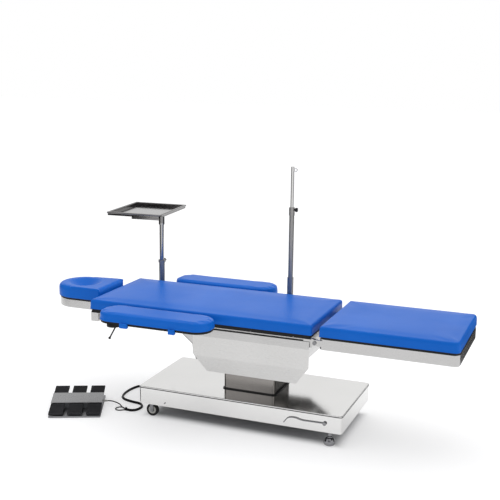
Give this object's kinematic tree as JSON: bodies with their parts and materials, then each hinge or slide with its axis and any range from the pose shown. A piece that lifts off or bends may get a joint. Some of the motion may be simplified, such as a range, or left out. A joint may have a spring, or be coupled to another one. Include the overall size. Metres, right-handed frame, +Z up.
{
  "type": "operating table",
  "caption": "Mobile operating table with padded head, back and leg sections, swing-out arm boards, lifting column, tray and pole.",
  "frame": {"origin": "on the floor, under the middle of the whole table with its tray, without the cord", "axes": "+X along the table to its leg end, +Y to the side of the tray and the drip pole, +Z up"},
  "size_m": [2.119, 1.1642, 1.21],
  "materials": {
    "stainless_panel": "brushed stainless sheet",
    "frame_steel": "brushed stainless bar",
    "chassis_paint": "satin paint",
    "ground_steel": "ground and plated",
    "zinc_steel": "zinc finish",
    "vinyl_blue": "blue antistatic vinyl over foam",
    "board_black": "black laminate board",
    "wheel_black": "rubber tread on a nylon wheel",
    "plastic_black": "moulded black plastic",
    "pedal_rubber": "ribbed charcoal rubber",
    "cord_black": "black rubber sheath",
    "relief_pale": "pale moulded plastic",
    "foot_chrome": "polished"
  },
  "bodies": {
    "base": {"base_chassis": "chassis_paint", "base_cover": "stainless_panel", "column_collar": "plastic_black", "guide_column": "stainless_panel", "lift_cylinder": "chassis_paint", "pump_unit": "chassis_paint", "cable_gland": "plastic_black", "switch_plate": "zinc_steel", "switch_housing": "chassis_paint", "switch_bar": "stainless_panel", "strain_relief": "relief_pale", "cord_lead": "cord_black", "cord_hank": "cord_black", "cord_tail": "cord_black"},
    "middle_stage": {"column_middle": "stainless_panel", "lift_ram_middle": "ground_steel"},
    "upper_stage": {"column_outer": "stainless_panel", "lift_ram_top": "ground_steel", "tilt_yoke": "chassis_paint"},
    "tilt_cross": {"tilt_cross": "ground_steel"},
    "table": {"table_saddle": "chassis_paint", "main_frame": "frame_steel", "main_board": "board_black", "main_pad": "vinyl_blue", "skirt_front": "stainless_panel", "skirt_rear": "stainless_panel", "mechanism_cowl": "stainless_panel", "hinge_pins": "zinc_steel", "arm_brackets": "chassis_paint", "drip_socket": "stainless_panel", "tray_socket": "stainless_panel"},
    "head_section": {"head_frame": "frame_steel", "head_board": "board_black", "head_pad": "vinyl_blue"},
    "leg_section": {"leg_frame": "frame_steel", "leg_board": "board_black", "leg_pad": "vinyl_blue"},
    "drip_rod": {"drip_rod": "stainless_panel"},
    "drip_knob": {"drip_knob": "plastic_black"},
    "tray_pole": {"tray_pole": "stainless_panel"},
    "tray": {"tray": "stainless_panel"},
    "tray_knob": {"tray_knob": "plastic_black"},
    "arm_front": {"arm_board_front": "board_black", "arm_pad_front": "vinyl_blue"},
    "arm_lever_front": {"arm_lever_front": "plastic_black"},
    "caster_front": {"caster_fork_front": "zinc_steel"},
    "caster_wheel_front": {"caster_wheel_front": "wheel_black"},
    "levelling_foot_front": {"levelling_foot_front": "foot_chrome"},
    "arm_rear": {"arm_board_rear": "board_black", "arm_pad_rear": "vinyl_blue"},
    "arm_lever_rear": {"arm_lever_rear": "plastic_black"},
    "caster_rear": {"caster_fork_rear": "zinc_steel"},
    "caster_wheel_rear": {"caster_wheel_rear": "wheel_black"},
    "levelling_foot_rear": {"levelling_foot_rear": "foot_chrome"},
    "pedal_front_1": {"pedal_front_1": "pedal_rubber"},
    "pedal_back_1": {"pedal_back_1": "pedal_rubber"},
    "pedal_front_2": {"pedal_front_2": "pedal_rubber"},
    "pedal_back_2": {"pedal_back_2": "pedal_rubber"},
    "pedal_front_3": {"pedal_front_3": "pedal_rubber"},
    "pedal_back_3": {"pedal_back_3": "pedal_rubber"}
  },
  "joints": [
    {"name": "lift", "type": "slide", "parent": "base", "child": "upper_stage", "axis": [0, 0, 1], "range_m": [0, 0.22]},
    {"name": "lift_middle", "type": "slide", "parent": "base", "child": "middle_stage", "axis": [0, 0, 1], "range_m": [0, 0.11]},
    {"name": "trend_tilt", "type": "hinge", "parent": "upper_stage", "child": "tilt_cross", "pos_m": [0.0415, -0.1293, 0.405], "axis": [0, 1, 0], "range_deg": [-12, 12]},
    {"name": "side_tilt", "type": "hinge", "parent": "tilt_cross", "child": "table", "pos_m": [0.0415, -0.1293, 0.405], "axis": [1, 0, 0], "range_deg": [-12, 12]},
    {"name": "head_tilt", "type": "hinge", "parent": "table", "child": "head_section", "pos_m": [-0.7565, -0.1293, 0.505], "axis": [0, -1, 0], "range_deg": [-15, 30]},
    {"name": "leg_tilt", "type": "hinge", "parent": "table", "child": "leg_section", "pos_m": [0.4085, -0.1293, 0.487], "axis": [0, 1, 0], "range_deg": [-15, 40]},
    {"name": "drip_rod_slide", "type": "slide", "parent": "table", "child": "drip_rod", "axis": [0, 0, 1], "range_m": [-0.17, 0.1]},
    {"name": "drip_knob_turn", "type": "hinge", "parent": "table", "child": "drip_knob", "pos_m": [0.1035, 0.1607, 0.994], "axis": [1, 0, 0], "range_deg": [-180, 180]},
    {"name": "tray_pole_slide", "type": "slide", "parent": "table", "child": "tray_pole", "axis": [0, 0, 1], "range_m": [-0.06, 0.05]},
    {"name": "tray_swivel", "type": "hinge", "parent": "tray_pole", "child": "tray", "pos_m": [-0.6505, 0.2057, 0.887], "axis": [0, 0, 1], "range_deg": [-90, 90]},
    {"name": "tray_knob_turn", "type": "hinge", "parent": "table", "child": "tray_knob", "pos_m": [-0.6505, 0.2057, 0.653], "axis": [0, 1, 0], "range_deg": [-180, 180]},
    {"name": "arm_front_swing", "type": "hinge", "parent": "table", "child": "arm_front", "pos_m": [-0.5485, -0.4968, 0.517], "axis": [0, 0, -1], "range_deg": [0, 90]},
    {"name": "arm_lever_front_turn", "type": "hinge", "parent": "table", "child": "arm_lever_front", "pos_m": [-0.5685, -0.4293, 0.48], "axis": [0, 0, -1], "range_deg": [-60, 30]},
    {"name": "caster_front_swivel", "type": "hinge", "parent": "base", "child": "caster_front", "pos_m": [-0.4085, -0.3403, 0.069], "axis": [0, 0, 1], "continuous": true},
    {"name": "caster_wheel_front_spin", "type": "hinge", "parent": "caster_front", "child": "caster_wheel_front", "pos_m": [-0.4275, -0.3403, 0.031], "axis": [0, 1, 0], "continuous": true},
    {"name": "levelling_foot_front_screw", "type": "slide", "parent": "base", "child": "levelling_foot_front", "axis": [0, 0, 1], "range_m": [0, 0.012]},
    {"name": "arm_rear_swing", "type": "hinge", "parent": "table", "child": "arm_rear", "pos_m": [-0.5085, 0.2382, 0.517], "axis": [0, 0, 1], "range_deg": [0, 90]},
    {"name": "arm_lever_rear_turn", "type": "hinge", "parent": "table", "child": "arm_lever_rear", "pos_m": [-0.5285, 0.1707, 0.48], "axis": [0, 0, 1], "range_deg": [-60, 30]},
    {"name": "caster_rear_swivel", "type": "hinge", "parent": "base", "child": "caster_rear", "pos_m": [-0.4085, 0.0817, 0.069], "axis": [0, 0, 1], "continuous": true},
    {"name": "caster_wheel_rear_spin", "type": "hinge", "parent": "caster_rear", "child": "caster_wheel_rear", "pos_m": [-0.4275, 0.0817, 0.031], "axis": [0, 1, 0], "continuous": true},
    {"name": "levelling_foot_rear_screw", "type": "slide", "parent": "base", "child": "levelling_foot_rear", "axis": [0, 0, 1], "range_m": [0, 0.012]},
    {"name": "pedal_front_1_press", "type": "hinge", "parent": "base", "child": "pedal_front_1", "pos_m": [-0.92161, -0.48686, 0.03158], "axis": [0.9063, 0.4226, 0], "range_deg": [0, 3], "stiffness_Nm_per_rad": 12, "springref_deg": -2.86},
    {"name": "pedal_back_1_press", "type": "hinge", "parent": "base", "child": "pedal_back_1", "pos_m": [-0.96387, -0.39623, 0.04538], "axis": [-0.9063, -0.4226, 0], "range_deg": [0, 3], "stiffness_Nm_per_rad": 12, "springref_deg": -2.86},
    {"name": "pedal_front_2_press", "type": "hinge", "parent": "base", "child": "pedal_front_2", "pos_m": [-0.92161, -0.48686, 0.03158], "axis": [0.9063, 0.4226, 0], "range_deg": [0, 3], "stiffness_Nm_per_rad": 12, "springref_deg": -2.86},
    {"name": "pedal_back_2_press", "type": "hinge", "parent": "base", "child": "pedal_back_2", "pos_m": [-0.96387, -0.39623, 0.04538], "axis": [-0.9063, -0.4226, 0], "range_deg": [0, 3], "stiffness_Nm_per_rad": 12, "springref_deg": -2.86},
    {"name": "pedal_front_3_press", "type": "hinge", "parent": "base", "child": "pedal_front_3", "pos_m": [-0.92161, -0.48686, 0.03158], "axis": [0.9063, 0.4226, 0], "range_deg": [0, 3], "stiffness_Nm_per_rad": 12, "springref_deg": -2.86},
    {"name": "pedal_back_3_press", "type": "hinge", "parent": "base", "child": "pedal_back_3", "pos_m": [-0.96387, -0.39623, 0.04538], "axis": [-0.9063, -0.4226, 0], "range_deg": [0, 3], "stiffness_Nm_per_rad": 12, "springref_deg": -2.86}
  ],
  "couplings": [
    {"joint": "lift_middle", "follows": "lift", "ratio": 0.5}
  ]
}
